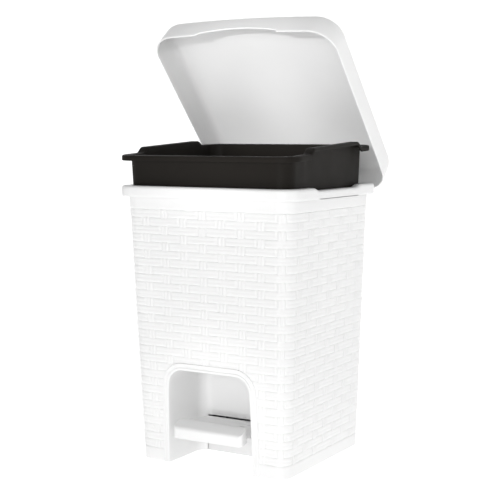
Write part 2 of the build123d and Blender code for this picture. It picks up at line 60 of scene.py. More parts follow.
# A section is (half width, front y, back y, corner radius).
RIM = (cad("outer_body", 1, "x"), cad("outer_body", 0, "y"), 103.6, 22.0)
BODY_TOP = cad("outer_body", 1, "z")
FLOOR_SECTION = np.array((95.3, -92.8, 92.8, 14.0))
TAPER = np.array((0.03828, -0.04621, 0.01069, 0.0152))
BODY_WALL = 2.2
BAND_TOP = 15.5
BAND_STEP = 0.35
COLLAR_STEP = 0.8
WEAVE_ROWS = 30
WEAVE_TOP = 290.0
STAKES = 32
STAKE_SHIFT = 5.0
RIM_BOTTOM = BODY_TOP - 12.5
RIM_SKIN = 2.0
RIM_EDGE_RADIUS = 3.5
RIM_DIP = 3.0
RIM_DIP_Y = (-57.0, 47.0)
RIM_DIP_RAMP = 6.0
HEEL_WINDOW_HALF_WIDTH = 13.5
HEEL_WINDOW_Z = 293.0

RECESS_HALF_WIDTH = (55.0, 52.5)
RECESS_HEIGHT = 109.5
RECESS_CORNER = 18.0
RECESS_BACK_Y = -25.5
RECESS_INNER_ROUND = 14.0
BORDER_WIDTH = 8.5
BORDER_STEP = 1.3
BORDER_RIDGE = 2.6
BORDER_CHANNEL = 0.75
LEVER_SLOT = (46.5, 43.3)

HINGE_Y, HINGE_Z = (joint_place / MM for joint_place in frame["joints"][0]["pos_m"][1:])
OPEN_ANGLE = radians(-frame["joints"][0]["range_deg"][0])
HINGE_X = 62.0
KNUCKLE_RADIUS = 3.8
KNUCKLE_HALF_WIDTH = 5.6
EAR_GAP = 6.0
EAR_WIDTH = 4.0
EAR_FOOT_Y = 101.8
LID_SECTION = (cad("lid", 1, "x"), -117.3, 120.9, 28.0)
LID_BOW = 4.0
LID_EDGE_Z = 313.0
LID_SIDE_HEIGHT = 34.0
LID_CROWN = 3.4
LID_WALL = 2.0
LID_DRAFT = 0.040
LID_ROUND = 10.0
NOTCH_HALF_WIDTH = 52.0
NOTCH_DEPTHS = (2.6, 8.2)

BUCKET_BOTTOM = cad("inner_bucket", 0, "z")
BUCKET_LIFT = 27.2
BUCKET_GAP = 0.6
BUCKET_WALL = 2.0
BUCKET_BACK = (76.5, 80.3)
FLANGE = (cad("inner_bucket", 1, "x"), cad("inner_bucket", 0, "y"), cad("inner_bucket", 1, "y"), 21.0)
FLANGE_FRONT_Z = 343.6
FLANGE_SLOPE = 0.057
FLANGE_LIP = 6.0
FLANGE_SKIN = 2.0
GRIP_RISE = 6.2
GRIP_LIP = 3.8
GRIP_Y = (-72.0, -62.0, 43.0, 55.0)
BUCKET_FOOT_RADIUS = 5.0
BUCKET_FLOOR_RADIUS = 4.0
BUCKET_FLOOR = 2.5

HEEL_CHEEK_X = (7.2, 9.8)
HEEL_END = (88.8, 297.76)
HEEL_EYE_RADIUS = 4.0


# ---- numbers along a rounded rectangle ---------------------------------------------------------
def smooth(value, low, high):
    """0 below low, 1 above high, with an even ramp between them."""
    t = np.clip((value - low) / (high - low), 0, 1)
    return t * t * (3 - 2 * t)


def perimeter(section):
    """Length once round a section."""
    half, front, back, radius = section
    return 2 * (2 * half + back - front) - 8 * radius + 2 * pi * radius


def stations(lengths, section):
    """Turn arc lengths round a section, anticlockwise from the front right corner's start, into
    places that suit every other section: corner signs, fraction along a side and outward normal."""
    half, front, back, radius = section
    arc = radius * pi / 2
    runs = [arc, back - front - 2 * radius, arc, 2 * (half - radius)] * 2
    starts = np.concatenate([[0], np.cumsum(runs)])
    run = np.clip(np.searchsorted(starts, lengths, side="right") - 1, 0, 7)
    share = (lengths - starts[run]) / np.array(runs)[run]
    corners = np.array([(1, -1), (1, 1), (-1, 1), (-1, -1), (1, -1)])
    first = corners[run // 2]
    last = corners[np.where(run % 2 == 0, run // 2, run // 2 + 1)]
    angle = (run // 2 - 1) * pi / 2 + np.where(run % 2 == 0, share, 1) * pi / 2
    blend = np.where(run % 2 == 0, 0, share)[:, None]
    normal = np.stack([np.cos(angle), np.sin(angle)], 1)
    return {"corner": first * (1 - blend) + last * blend, "normal": normal}


def place(ring, section, grow=0.0):
    """x and y of every station on a section; grow moves them outwards."""
    half, front, back, radius = section
    reach = radius + grow
    (side_x, side_y), (normal_x, normal_y) = ring["corner"].T, ring["normal"].T
    x = side_x * (half - radius) + normal_x * reach
    y = (front + back) / 2 + side_y * ((back - front) / 2 - radius) + normal_y * reach
    return x, y


def inset(section, amount, radius_share=1.0):
    """A section moved inwards; its corner radius shrinks by a share of that."""
    half, front, back, radius = section
    return half - amount, front + amount, back - amount, max(radius - amount * radius_share, 0.6)


def body_section(z, grow=0.0):
    """The tapered body's section at a height; grow moves its faces outwards."""
    return tuple(FLOOR_SECTION + TAPER * z + np.array((1, -1, 1, 1)) * grow)


# ---- mesh helpers ------------------------------------------------------------------------------
def add_mesh(name, points, faces, sharp=35):
    """Mesh object from points in millimetres, smooth apart from edges sharper than an angle."""
    mesh = bpy.data.meshes.new(name)
    mesh.from_pydata((np.asarray(points) * MM).tolist(), [], faces)
    mesh.validate()
    mesh.polygons.foreach_set("use_smooth", [True] * len(mesh.polygons))
    mesh.set_sharp_from_angle(angle=radians(sharp))
    thing = bpy.data.objects.new(name, mesh)
    bpy.context.scene.collection.objects.link(thing)
    return thing


def grid_faces(rows, columns, close_rows=False, keep=None):
    """Quads between neighbouring rows of a grid whose columns run all the way round."""
    last = rows if close_rows else rows - 1
    r, c = np.meshgrid(np.arange(last), np.arange(columns), indexing="ij")
    up, right = (r + 1) % rows, (c + 1) % columns
    quads = np.stack([r * columns + c, r * columns + right, up * columns + right, up * columns + c], -1)
    quads = quads.reshape(-1, 4)
    return (quads if keep is None else quads[keep(quads)]).tolist()


def settle(thing, bevel=0.0):
    """Bevel sharp edges and make the result the object's own mesh."""
    if bevel:
        modifier = thing.modifiers.new("bevel", "BEVEL")
        modifier.width = bevel * MM
        modifier.segments = 2
        modifier.limit_method = "ANGLE"
        modifier.angle_limit = radians(30)
        modifier.harden_normals = True
    graph = bpy.context.evaluated_depsgraph_get()
    mesh = bpy.data.meshes.new_from_object(thing.evaluated_get(graph))
    thing.modifiers.clear()
    thing.data = mesh
    return thing


def hull(name, points, bevel=0.4):
    """Convex solid round some points in millimetres, with softened edges."""
    mesh = bpy.data.meshes.new(name)
    form = bmesh.new()
    for point in points:
        form.verts.new(Vector(point) * MM)
    made = bmesh.ops.convex_hull(form, input=form.verts[:])
    bmesh.ops.delete(form, geom=list({*made["geom_interior"], *made["geom_unused"]}), context="VERTS")
    bmesh.ops.dissolve_limit(form, angle_limit=radians(1), verts=form.verts[:], edges=form.edges[:])
    form.to_mesh(mesh)
    form.free()
    mesh.polygons.foreach_set("use_smooth", [True] * len(mesh.polygons))
    mesh.set_sharp_from_angle(angle=radians(30))
    thing = bpy.data.objects.new(name, mesh)
    bpy.context.scene.collection.objects.link(thing)
    return settle(thing, bevel)


def circle(y, z, radius, count=28):
    """(y, z) points round a circle."""
    turns = [2 * pi * k / count for k in range(count)]
    return [(y + radius * cos(turn), z + radius * sin(turn)) for turn in turns]


def plate(name, outline, x_low, x_high, bevel=0.4):
    """Convex (y, z) outline given a thickness along X."""
    return hull(name, [(x, y, z) for x in (x_low, x_high) for y, z in outline], bevel)


def slab(name, outline, x_low, x_high, bevel=0.3):
    """Any (y, z) outline given a thickness along X."""
    count = len(outline)
    points = [(x, y, z) for x in (x_low, x_high) for y, z in outline]
    faces = [list(range(count))[::-1], list(range(count, 2 * count))]
    faces += [[k, (k + 1) % count, (k + 1) % count + count, k + count] for k in range(count)]
    return settle(add_mesh(name, points, faces, sharp=30), bevel)


def join(name, pieces):
    """Make one object of several."""
    form = bmesh.new()
    for piece in pieces:
        form.from_mesh(piece.data)
        bpy.data.objects.remove(piece)
    mesh = bpy.data.meshes.new(name)
    form.to_mesh(mesh)
    form.free()
    thing = bpy.data.objects.new(name, mesh)
    bpy.context.scene.collection.objects.link(thing)
    return thing


# ---- materials ---------------------------------------------------------------------------------
def new_material(name):
    """An empty node material with its nodes, links and shader."""
    material = bpy.data.materials.new(name)
    material.use_nodes = True
    nodes, links = material.node_tree.nodes, material.node_tree.links
    return material, nodes, links, nodes["Principled BSDF"]


def moulded_plastic(name, light, dark, roughness, grain=0.04, shine=0.5):
    """Injection-moulded plastic: faint cloudy colour, uneven gloss and a fine skin texture."""
    material, nodes, links, shader = new_material(name)
    place_node = nodes.new("ShaderNodeTexCoord")
    cloud = nodes.new("ShaderNodeTexNoise")
    cloud.inputs["Scale"].default_value = 14
    cloud.inputs["Detail"].default_value = 4
    tint = nodes.new("ShaderNodeValToRGB")
    tint.color_ramp.elements[0].color = (*dark, 1)
    tint.color_ramp.elements[1].color = (*light, 1)
    tint.color_ramp.elements[0].position = 0.3
    tint.color_ramp.elements[1].position = 0.7
    gloss = nodes.new("ShaderNodeTexNoise")
    gloss.inputs["Scale"].default_value = 45
    gloss.inputs["Detail"].default_value = 3
    level = nodes.new("ShaderNodeMapRange")
    level.inputs["To Min"].default_value = roughness - 0.06
    level.inputs["To Max"].default_value = roughness + 0.06
    skin = nodes.new("ShaderNodeTexNoise")
    skin.inputs["Scale"].default_value = 900
    skin.inputs["Detail"].default_value = 2
    bump = nodes.new("ShaderNodeBump")
    bump.inputs["Strength"].default_value = grain
    bump.inputs["Distance"].default_value = 0.0004
    for texture in (cloud, gloss, skin):
        links.new(place_node.outputs["Object"], texture.inputs["Vector"])
    links.new(cloud.outputs["Fac"], tint.inputs["Fac"])
    links.new(tint.outputs["Color"], shader.inputs["Base Color"])
    links.new(gloss.outputs["Fac"], level.inputs["Value"])
    links.new(level.outputs["Result"], shader.inputs["Roughness"])
    links.new(skin.outputs["Fac"], bump.inputs["Height"])
    links.new(bump.outputs["Normal"], shader.inputs["Normal"])
    shader.inputs["IOR"].default_value = 1.49
    shader.inputs["Specular IOR Level"].default_value = shine
    return material


def drawn_metal(name, light, dark, roughness):
    """Plated steel with fine lengthwise streaks and a little tarnish."""
    material, nodes, links, shader = new_material(name)
    place_node = nodes.new("ShaderNodeTexCoord")
    stretch = nodes.new("ShaderNodeMapping")
    stretch.inputs["Scale"].default_value = (1, 1, 0.08)
    streak = nodes.new("ShaderNodeTexNoise")
    streak.inputs["Scale"].default_value = 700
    streak.inputs["Detail"].default_value = 3
    tarnish = nodes.new("ShaderNodeTexNoise")
    tarnish.inputs["Scale"].default_value = 60
    tint = nodes.new("ShaderNodeValToRGB")
    tint.color_ramp.elements[0].color = (*dark, 1)
    tint.color_ramp.elements[1].color = (*light, 1)
    tint.color_ramp.elements[0].position = 0.25
    tint.color_ramp.elements[1].position = 0.6
    level = nodes.new("ShaderNodeMapRange")
    level.inputs["To Min"].default_value = roughness - 0.08
    level.inputs["To Max"].default_value = roughness + 0.12
    bump = nodes.new("ShaderNodeBump")
    bump.inputs["Strength"].default_value = 0.08
    bump.inputs["Distance"].default_value = 0.0002
    links.new(place_node.outputs["Object"], stretch.inputs["Vector"])
    links.new(stretch.outputs["Vector"], streak.inputs["Vector"])
    links.new(place_node.outputs["Object"], tarnish.inputs["Vector"])
    links.new(tarnish.outputs["Fac"], tint.inputs["Fac"])
    links.new(tint.outputs["Color"], shader.inputs["Base Color"])
    links.new(streak.outputs["Fac"], level.inputs["Value"])
    links.new(level.outputs["Result"], shader.inputs["Roughness"])
    links.new(streak.outputs["Fac"], bump.inputs["Height"])
    links.new(bump.outputs["Normal"], shader.inputs["Normal"])
    shader.inputs["Metallic"].default_value = 1.0
    return material


WHITE = (0.86, 0.86, 0.857)
WHITE_CLOUD = (0.84, 0.84, 0.84)
DARK = (0.0125, 0.0105, 0.0085)
DARK_CLOUD = (0.010, 0.0085, 0.007)
INNER = (0.74, 0.74, 0.74)
INNER_CLOUD = (0.70, 0.70, 0.70)
RUBBER = (0.035, 0.035, 0.036)
RUBBER_CLOUD = (0.025, 0.025, 0.025)
MATERIALS = {
    "weave_plastic": moulded_plastic("weave_plastic", WHITE, WHITE_CLOUD, 0.38, grain=0.05),
    "lid_plastic": moulded_plastic("lid_plastic", WHITE, WHITE_CLOUD, 0.33, grain=0.03),
    "pedal_plastic": moulded_plastic("pedal_plastic", WHITE, WHITE_CLOUD, 0.40, grain=0.05),
    "bucket_plastic": moulded_plastic("bucket_plastic", DARK, DARK_CLOUD, 0.60, grain=0.10, shine=0.12),
    "inner_plastic": moulded_plastic("inner_plastic", INNER, INNER_CLOUD, 0.5, grain=0.08),
    "screw_steel": drawn_metal("screw_steel", (0.66, 0.66, 0.67), (0.55, 0.54, 0.52), 0.32),
    "pin_steel": drawn_metal("pin_steel", (0.62, 0.62, 0.63), (0.52, 0.52, 0.52), 0.25),
    "rod_steel": drawn_metal("rod_steel", (0.60, 0.60, 0.62), (0.50, 0.50, 0.50), 0.30),
    "buffer_rubber": moulded_plastic("buffer_rubber", RUBBER, RUBBER_CLOUD, 0.75, grain=0.2),
}


def finish_piece(thing, body, slot, node):
    """Give a piece its material and its body, and hide the CAD node that it stands for."""
    thing.data.materials.clear()
    thing.data.materials.append(MATERIALS[slot])
    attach(thing, body)
    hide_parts(node)


# ---- outer body --------------------------------------------------------------------------------
MIDDLE_SECTION = body_section(WEAVE_TOP / 2)
STAKE_PITCH = perimeter(MIDDLE_SECTION) / STAKES
ROW_HEIGHT = (WEAVE_TOP - BAND_TOP) / WEAVE_ROWS
# where the mesh has points between one stake's middle and the next, and up one row of the weave
STAKE_ROD_X, STAKE_ROD_RADIUS = 2.2, 2.1
BESIDE_STAKE = np.array((0.35, 1.2, 2.2, 3.2, 4.0, 4.5, 5.1, 6.0))
ACROSS_STAKE = np.concatenate([-BESIDE_STAKE[::-1], BESIDE_STAKE])
BETWEEN_STAKES = np.linspace(6.0, STAKE_PITCH - 6.0, 6)[1:-1]
UP_ROW = np.array((0.0, 0.05, 0.12, 0.24, 0.38, 0.46, 0.50, 0.54, 0.62, 0.76, 0.88, 0.95))


def recess_distance(x, z):
    """Distance outside the arch of the foot recess; negative inside it."""
    low, high = RECESS_HALF_WIDTH
    half = low + (high - low) * z / RECESS_HEIGHT
    side = np.abs(x) - (half - RECESS_CORNER)
    top = z - (RECESS_HEIGHT - RECESS_CORNER)
    outside = np.hypot(np.maximum(side, 0), np.maximum(top, 0))
    return np.minimum(np.maximum(side, top), 0) + outside - RECESS_CORNER


def weave_relief(across, stake, up, row, shade):
    """Height of the rattan pattern above the wall: flat strands that cross paired upright rods."""
    strand = 0.35 + 0.65 * (1 - np.abs(2 * up - 1) ** 5)
    groove = 1 - 0.22 * np.exp(-((up - 0.5) / 0.07) ** 2)
    shown = (row + stake) % 2 == 0
    beside = smooth(np.abs(across), 4.2, 6.0)
    over = 0.95 + 0.22 * np.exp(-(across / 5.0) ** 2)
    strand_height = strand * groove * np.where(shown, 0.1 + 0.9 * beside, over) * (1 + shade)
    rod = np.sqrt(np.clip(1 - ((np.abs(across) - STAKE_ROD_X) / STAKE_ROD_RADIUS) ** 2, 0, 1))
    rod_height = np.where(shown, rod * (1.05 + 0.45 * (1 - np.abs(2 * up - 1) ** 4)), 0.8 * rod)
    return np.maximum(strand_height, rod_height) * 0.9 - 0.6


def body_rows():
    """(section, height, row of the weave or None, how far up that row) for each loop of the body,
    from the outer foot up the wall, over the rim and down the inside."""
    rows = [(body_section(0, -0.5), 0.0), (body_section(0.6, BAND_STEP), 0.6)]
    rows += [(body_section(z, BAND_STEP), z) for z in np.linspace(2, BAND_TOP - 1.0, 10)]
    rows.append((body_section(BAND_TOP, -0.1), BAND_TOP - 0.3))
    rows = [(*row, None, 0.0) for row in rows]
    for k in range(WEAVE_ROWS):
        for up in UP_ROW:
            z = BAND_TOP + (k + up) * ROW_HEIGHT
            rows.append((body_section(z), z, WEAVE_ROWS - 1 - k, up))
    upper = [(body_section(WEAVE_TOP, -0.6), WEAVE_TOP), (body_section(WEAVE_TOP, 0.5), WEAVE_TOP + 0.3),
             (body_section(WEAVE_TOP, COLLAR_STEP), WEAVE_TOP + 0.9)]
    collar = (HEEL_WINDOW_Z, *np.linspace(WEAVE_TOP + 7, BODY_TOP - 5, 5))
    upper += [(body_section(z, COLLAR_STEP), z) for z in collar]
    skirt = inset(RIM, RIM_SKIN)
    upper += [(body_section(BODY_TOP, 1.6), BODY_TOP - 3.6), (inset(skirt, 1.2), BODY_TOP - 3.6)]
    upper += [(skirt, BODY_TOP - 5), (skirt, RIM_BOTTOM + 0.6), (inset(RIM, RIM_SKIN - 0.6), RIM_BOTTOM)]
    upper += [(inset(RIM, 0.5), RIM_BOTTOM), (RIM, RIM_BOTTOM + 0.6)]
    upper += [(RIM, z) for z in np.linspace(RIM_BOTTOM + 3, BODY_TOP - 4, 4)]
    for k in range(1, 7):
        turn = k * pi / 12
        section = inset(RIM, RIM_EDGE_RADIUS * (1 - cos(turn)))
        upper.append((section, BODY_TOP - RIM_EDGE_RADIUS * (1 - sin(turn))))
    upper.append((body_section(BODY_TOP, -BODY_WALL + 0.9), BODY_TOP))
    upper.append((body_section(BODY_TOP, -BODY_WALL), BODY_TOP - 0.9))
    inner = [*np.linspace(BODY_TOP - 4, HEEL_WINDOW_Z, 4), *np.linspace(286, 130, 21)]
    inner += list(np.linspace(126, 2, 63))
    upper += [(body_section(z, -BODY_WALL), z) for z in inner]
    upper.append((body_section(0, -BODY_WALL + 0.3), 0.0))
    return rows + [(*row, None, 0.0) for row in upper]


def rim_dip(y):
    """Share of the dip in the rim's top at y, with a ramp at each end."""
    front, back = RIM_DIP_Y
    ramp = RIM_DIP_RAMP
    return smooth(y, front - ramp, front + ramp) * (1 - smooth(y, back - ramp, back + ramp))


def snap_to_window(ring):
    """Move the columns beside the heel's window in the back wall on to its two edges."""
    half, _, _, radius = body_section(BODY_TOP)
    x, _ = place(ring, body_section(BODY_TOP))
    on_back = ring["normal"][:, 1] > 0.99
    edges = []
    for side in (1, -1):
        distance = np.where(on_back, np.abs(x - side * HEEL_WINDOW_HALF_WIDTH), 1e6)
        column = int(distance.argmin())
        ring["corner"][column, 0] = side * HEEL_WINDOW_HALF_WIDTH / (half - radius)
        edges.append(column)
    return edges


def window_lining(points, edges):
    """Faces that close the cut wall round the heel's window: two side walls and the sill."""
    count = points.shape[1]
    cut = [k for k in range(len(points)) if points[k, edges[0], 2] > HEEL_WINDOW_Z - 0.01]
    sides = [[k * count + edges[0] for k in cut], [k * count + edges[1] for k in reversed(cut)]]
    outer, inner = cut[0] * count, cut[-1] * count
    sill = [[outer + c, outer + c + 1, inner + c + 1, inner + c] for c in range(edges[0], edges[1])]
    return sides + sill


def outer_body():
    """Woven shell with its rim, less the arch of the foot recess and the heel's window."""
    across = np.concatenate([ACROSS_STAKE, BETWEEN_STAKES])
    first = MIDDLE_SECTION[3] * pi / 4 - STAKE_SHIFT
    stake = np.repeat(np.arange(STAKES), len(across))
    around = np.tile(across, STAKES)
    lengths = (first + stake * STAKE_PITCH + around) % perimeter(MIDDLE_SECTION)
    ring = stations(lengths, MIDDLE_SECTION)
    edges = snap_to_window(ring)
    next_stake = around > STAKE_PITCH / 2
    nearest = np.where(next_stake, stake + 1, stake)
    offset = np.where(next_stake, around - STAKE_PITCH, around)
    strand_shade = RNG.uniform(-0.10, 0.10, (WEAVE_ROWS, STAKES + 1))
    on_side = np.abs(ring["normal"][:, 0]) > 0.99
    rows = body_rows()
    points = np.zeros((len(rows), len(lengths), 3))
    for k, (section, z, row, up) in enumerate(rows):
        relief = 0.0
        if row is not None:
            relief = weave_relief(offset, nearest, up, row, strand_shade[row][stake])
        x, y = place(ring, section, relief)
        z = z - np.where(on_side & (z > RIM_BOTTOM + 2), rim_dip(y) * RIM_DIP, 0)
        points[k] = np.stack(np.broadcast_arrays(x, y, z), 1)
    flat = points.reshape(-1, 3)

    def kept(quads):
        middle = flat[quads].mean(1)
        front_face = FLOOR_SECTION[1] + TAPER[1] * middle[:, 2]
        covered = np.where(middle[:, 1] > front_face + 0.8, 1.0, BORDER_WIDTH / 2)
        in_recess = (recess_distance(middle[:, 0], middle[:, 2]) < covered) & (middle[:, 1] < -60)
        in_window = (np.abs(middle[:, 0]) < HEEL_WINDOW_HALF_WIDTH) & (middle[:, 1] > 60)
        return ~(in_recess | (in_window & (middle[:, 2] > HEEL_WINDOW_Z)))

    faces = grid_faces(len(rows), len(lengths), True, kept) + window_lining(points, edges)
    return add_mesh("body_shell", flat, faces, sharp=50)


def recess_path(arc_steps=12):
    """(x, z, outward normal) up one leg of the recess's arch, over it and down the other."""
    low, high = RECESS_HALF_WIDTH
    lean = atan2(low - high, RECESS_HEIGHT)
    arc_z = RECESS_HEIGHT - RECESS_CORNER
    arc_x = high - RECESS_CORNER
    right = []
    for z in (0, 8, 16, 24, 32, LEVER_SLOT[1], 52, 62, 72, 82):
        right.append((low + (high - low) * z / RECESS_HEIGHT, z, cos(lean), sin(lean)))
    for k in range(arc_steps + 1):
        turn = lean + (pi / 2 - lean) * k / arc_steps
        nx, nz = cos(turn), sin(turn)
        right.append((arc_x + RECESS_CORNER * nx, arc_z + RECESS_CORNER * nz, nx, nz))
    right += [(x, RECESS_HEIGHT, 0.0, 1.0) for x in (24, 16, 8)]
    left = [(-x, z, -nx, nz) for x, z, nx, nz in reversed(right)]
    return np.array(right + [(0.0, RECESS_HEIGHT, 0.0, 1.0)] + left)


def recess_section():
    """(outward growth, depth, whether it is measured from the back wall) of points round the lining,
    from the outside of the border to the far side of the wall."""
    inner, outer = RECESS_INNER_ROUND, RECESS_INNER_ROUND + BODY_WALL
    width, ridge, step = BORDER_WIDTH, BORDER_RIDGE, BORDER_STEP
    channel = BORDER_CHANNEL - step
    face = [(width, 1.6), (width, -0.5), (width - 0.6, -step), (width - ridge, -step),
            (width - ridge - 0.6, channel), (ridge + 0.6, channel), (ridge, -step), (0.9, -step),
            (0.25, 0.25 - step), (0.0, 0.9 - step), (0.0, 6.0)]
    turns = [k * pi / 16 for k in range(9)]
    corner = [(-inner * (1 - cos(turn)), -inner + inner * sin(turn)) for turn in turns]
    behind = [(-inner + outer * sin(turn), BODY_WALL - outer * (1 - cos(turn))) for turn in turns]
    front = [(grow, depth, 0) for grow, depth in face]
    return front + [(grow, depth, 1) for grow, depth in corner + behind] + [(BODY_WALL, 3.0, 0)]


def foot_recess():
    """Raised border and lining of the recess, swept along its arch, and its back wall."""
    path = recess_path()
    section = recess_section()
    points = np.zeros((len(path), len(section), 3))
    for k, (x, z, nx, nz) in enumerate(path):
        for m, (grow, depth, from_back) in enumerate(section):
            height = 0.0 if z == 0 else z + nz * grow
            face_y = body_section(height)[1]
            points[k, m] = (x + nx * grow, (RECESS_BACK_Y if from_back else face_y) + depth, height)
    flat = points.reshape(-1, 3)
    count = len(section)
    faces = grid_faces(len(path), count)
    middle = flat[np.array(faces)].mean(1)
    half, top = LEVER_SLOT
    in_slot = (np.abs(middle[:, 0]) < half) & (middle[:, 2] < top) & (middle[:, 1] > -40)
    faces = [face for face, gone in zip(faces, in_slot) if not gone]
    lining = add_mesh("recess_lining", flat, faces, sharp=40)
    return join("recess", [lining, recess_back()])


def recess_back():
    """Flat back wall of the recess, with the slot that the lever passes through."""
    half, top = LEVER_SLOT
    reach = RECESS_INNER_ROUND - 0.1
    edge = [(x - nx * reach, z - nz * reach) for x, z, nx, nz in recess_path()]
    upper = [(x, z) for x, z in edge if z > top]
    end = min(half, upper[0][0])
    outline = [(end, top)] + upper + [(-end, top)]
    count = len(outline)
    points = [(x, y, z) for y in (RECESS_BACK_Y, RECESS_BACK_Y + BODY_WALL) for x, z in outline]
    faces = [list(range(count)), list(range(2 * count - 1, count - 1, -1))]
    faces += [[k, k + count, (k + 1) % count + count, (k + 1) % count] for k in range(count)]
    return add_mesh("recess_back", points, faces, sharp=30)


def hinge_ears():
    """Two clevises behind the rim."""
    ears = []
    outline = [(EAR_FOOT_Y, 302.0), (EAR_FOOT_Y, BODY_TOP - 1.5)] + circle(HINGE_Y, HINGE_Z, KNUCKLE_RADIUS)
    for centre in (-HINGE_X, HINGE_X):
        for low in (centre - EAR_GAP - EAR_WIDTH, centre + EAR_GAP):
            ears.append(plate("ear", outline, low, low + EAR_WIDTH))
    return join("hinge_ears", ears)


# ---- lid ---------------------------------------------------------------------------------------
def lid_ring():
    """Stations round the lid, closer together at the ends of the finger notch."""
    total = perimeter(LID_SECTION)
    lengths = list(np.linspace(0, total, 220, endpoint=False))
    notch_middle = total - (LID_SECTION[0] - LID_SECTION[3])
    for end in (-NOTCH_HALF_WIDTH, NOTCH_HALF_WIDTH):
        lengths += [notch_middle + end + step for step in (-1.2, -0.5, 0.0, 0.5, 1.2)]
    return stations(np.array(sorted(lengths)), LID_SECTION)


def lid_notch(x, on_front):
    """How far the front edge rises at x."""
    end, middle = NOTCH_DEPTHS
    arch = end + (middle - end) * (1 - (x / NOTCH_HALF_WIDTH) ** 2)
    step = 1 - smooth(np.abs(x), NOTCH_HALF_WIDTH - 0.9, NOTCH_HALF_WIDTH + 0.9)
    return np.where(on_front, arch * step, 0)


def lid_skin(amount, rounding):
    """(inset, height above the edge) from the edge up the wall and over on to the roof."""
    top = LID_SIDE_HEIGHT - amount
    wall = [(amount + LID_DRAFT * h, h) for h in (0.7, 3, 9, 14, top - rounding)]
    for k in range(1, 7):
        turn = k * pi / 12
        inward = amount + LID_DRAFT * top + rounding * (1 - cos(turn))
        wall.append((inward, top - rounding * (1 - sin(turn))))
    return wall


def lid_shell():
    """Domed shell, made closed."""
    ring = lid_ring()
    on_front = ring["normal"][:, 1] < -0.9
    bow_share = np.clip(-ring["normal"][:, 1], 0, 1)
    outer, inner = lid_skin(0.0, LID_ROUND), lid_skin(LID_WALL, LID_ROUND - LID_WALL)
    lip = [(0.5, 0.0), (LID_WALL - 0.5, 0.0)]
    roof_shares = np.linspace(1, 0.04, 14)[1:]
    loops = []

    def add(amount, height, share=1.0):
        section = inset(LID_SECTION, amount, 0.8)
        half, front, back, radius = section
        middle = (front + back) / 2
        reach = (back - front) / 2 * share
        x, y = place(ring, (half * share, middle - reach, middle + reach, radius * share))
        y = y - LID_BOW * share * bow_share * (1 - np.clip(x / half, -1, 1) ** 2)
        rise = lid_notch(x, on_front) * np.clip(1 - height / 14, 0, 1)
        crown = LID_CROWN * (1 - share ** 2)
        loops.append(np.stack([x, y, LID_EDGE_Z + height + rise + crown], 1))

    for share in roof_shares[::-1]:
        add(*outer[-1], share)
    for amount, height in outer[::-1] + lip + inner:
        add(amount, height)
    for share in roof_shares:
        add(*inner[-1], share)
    count = len(loops[0])
    points = np.concatenate(loops)
    faces = grid_faces(len(loops), count)
    faces.append(list(range(count)))
    faces.append(list(range(len(points) - 1, len(points) - 1 - count, -1)))
    return add_mesh("lid_shell", points, faces, sharp=40)


def lid_arms():
    """Hinge knuckles and the two cheeks of the heel that the rod pushes up."""
    skirt_y = LID_SECTION[2] - LID_WALL + 0.6
    arms = []
    root = [(skirt_y, LID_EDGE_Z + 1), (skirt_y - 0.4, LID_EDGE_Z + 14), (HINGE_Y - 2.8, LID_EDGE_Z + 8)]
    for centre in (-HINGE_X, HINGE_X):
        outline = circle(HINGE_Y, HINGE_Z, KNUCKLE_RADIUS) + root
        arms.append(plate("knuckle", outline, centre - KNUCKLE_HALF_WIDTH, centre + KNUCKLE_HALF_WIDTH))
    end_y, end_z = HEEL_END
    cheek = [(skirt_y, LID_EDGE_Z + 0.4), (skirt_y - 0.6, LID_EDGE_Z + 20), (108, LID_EDGE_Z + 9),
             (97, HINGE_Z), (end_y - 3.4, end_z + 2), (end_y + 2, end_z - 3.4), (103, 300.5),
             (HINGE_Y, 305.5)]
    near, far = HEEL_CHEEK_X
    for low in (-far, near):
        high = low + far - near
        arms.append(slab("cheek", cheek, low, high))
        arms.append(plate("cheek_eye", circle(end_y, end_z, HEEL_EYE_RADIUS), low, high, 0.3))
    return arms


def lid():
    """The whole lid, opened about its hinge."""
    whole = join("lid_dome", [lid_shell(), *lid_arms()])
    pivot = Vector((0, HINGE_Y, HINGE_Z)) * MM
    turn = Matrix.Translation(pivot) @ Matrix.Rotation(-OPEN_ANGLE, 4, "X") @ Matrix.Translation(-pivot)
    whole.data.transform(turn)
    return whole


# ---- bucket ------------------------------------------------------------------------------------
def bucket_wall_section(z, inward=0.0):
    """Outside of the bucket's wall at a height; inward moves it towards the middle."""
    half, front, _, radius = body_section(z - BUCKET_LIFT, -BODY_WALL - BUCKET_GAP)
    back_low, back_high = BUCKET_BACK
    back = back_low + (back_high - back_low) * (z - BUCKET_BOTTOM) / (FLANGE_FRONT_Z - BUCKET_BOTTOM)
    return inset((half, front, back, radius), inward)


def bucket_ring():
    """Stations round the flange, closer together at the ends of the finger grips."""
    total = perimeter(FLANGE)
    _, front, back, radius = FLANGE
    corner = radius * pi / 2
    lengths = list(np.linspace(0, total, 240, endpoint=False))
    for y in GRIP_Y:
        for step in (-1.5, -0.5, 0.5, 1.5):
            right = corner + y + step - (front + radius)
            left = total / 2 + corner + (back - radius) - (y + step)
            lengths += [right, left]
    return stations(np.array(sorted(lengths)), FLANGE)


def level(z):
    """Height function of a flat loop."""
    return lambda y, on_side: np.full_like(y, z)


def flange_height(y, on_side):
    """Height of the flange's lower edge with the rise of the finger grips, and the share of that rise."""
    front_foot, front_top, back_top, back_foot = GRIP_Y
    grip = smooth(y, front_foot, front_top) * (1 - smooth(y, back_top, back_foot))
    rise = np.where(on_side, grip * GRIP_RISE, 0)
    return FLANGE_FRONT_Z + FLANGE_SLOPE * (y - FLANGE[1]) + rise, grip


